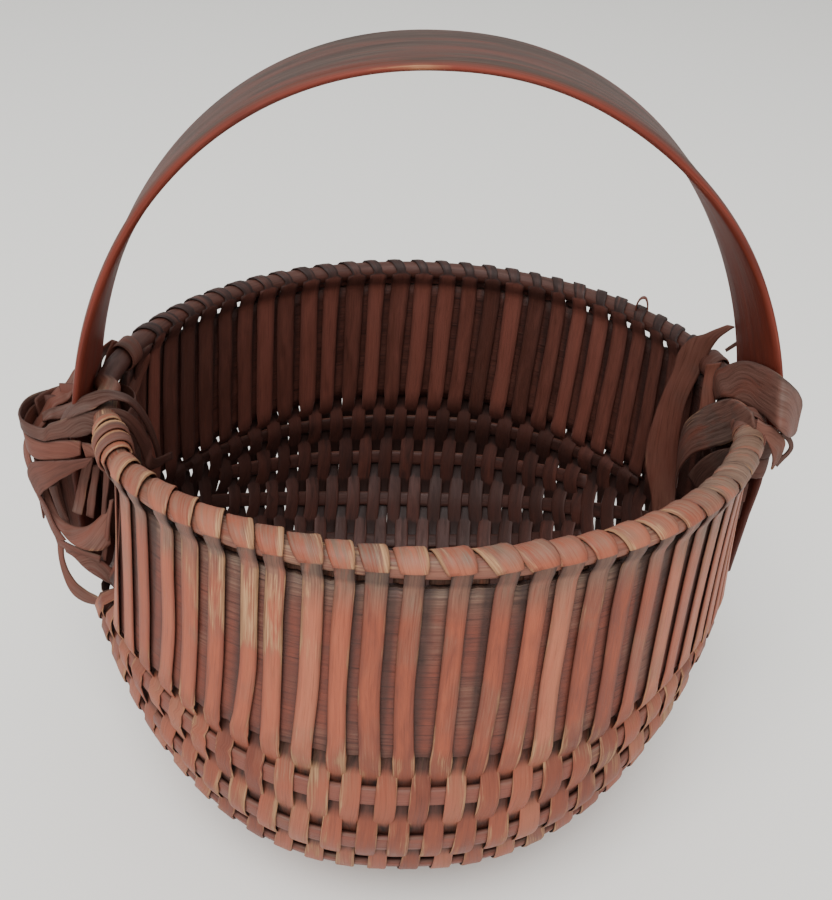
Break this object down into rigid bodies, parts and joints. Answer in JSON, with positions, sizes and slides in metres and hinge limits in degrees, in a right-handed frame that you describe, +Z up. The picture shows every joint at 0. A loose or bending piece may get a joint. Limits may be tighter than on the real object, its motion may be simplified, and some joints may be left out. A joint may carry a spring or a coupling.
{
  "type": "buttocks basket",
  "caption": "Small two-lobed rib basket with a fixed hoop handle, a rod rim, shaped ribs and woven splints, open at the top.",
  "frame": {"origin": "on the table under the middle of the basket's outer box", "axes": "+Z up, X along the handle from the left ear to the right ear, Y from the front lobe to the back lobe"},
  "size_m": [0.2098, 0.184, 0.2185],
  "materials": {
    "oak_band": "worn old barn-red paint on split oak, greyed on top",
    "oak_rod": "worn old barn-red paint on a whittled oak rod",
    "oak_rib": "worn old barn-red paint on whittled oak ribs",
    "woven_splint": "worn old barn-red paint on flat oak splints",
    "lashing_splint": "worn old barn-red paint on flat oak splints, creased"
  },
  "bodies": {
    "root": {"handle_hoop": "oak_band", "rim_hoop": "oak_rod", "wide_rib_front": "oak_rib", "wide_rib_back": "oak_rib", "rib_front_1": "oak_rib", "rib_back_1": "oak_rib", "rib_front_2": "oak_rib", "rib_back_2": "oak_rib", "rib_front_3": "oak_rib", "rib_back_3": "oak_rib", "rib_front_4": "oak_rib", "rib_back_4": "oak_rib", "rib_front_5": "oak_rib", "rib_back_5": "oak_rib", "rib_front_6": "oak_rib", "rib_back_6": "oak_rib", "rib_front_7": "oak_rib", "rib_back_7": "oak_rib", "splint_01": "woven_splint", "splint_02": "woven_splint", "splint_03": "woven_splint", "splint_04": "woven_splint", "splint_05": "woven_splint", "splint_06": "woven_splint", "splint_07": "woven_splint", "splint_08": "woven_splint", "splint_09": "woven_splint", "splint_10": "woven_splint", "splint_11": "woven_splint", "splint_12": "woven_splint", "splint_13": "woven_splint", "splint_14": "woven_splint", "ear_right_lashing_under": "lashing_splint", "ear_right_lashing_over": "lashing_splint", "ear_right_strap_upper": "lashing_splint", "ear_right_strap_lower": "lashing_splint", "ear_right_rim_turn_front": "lashing_splint", "ear_right_rim_turn_back": "lashing_splint", "ear_right_loose_end": "lashing_splint", "ear_left_lashing_under": "lashing_splint", "ear_left_lashing_over": "lashing_splint", "ear_left_strap_upper": "lashing_splint", "ear_left_strap_lower": "lashing_splint", "ear_left_rim_turn_front": "lashing_splint", "ear_left_rim_turn_back": "lashing_splint", "ear_left_loose_end": "lashing_splint", "ear_right_long_strap": "lashing_splint"}
  },
  "joints": []
}
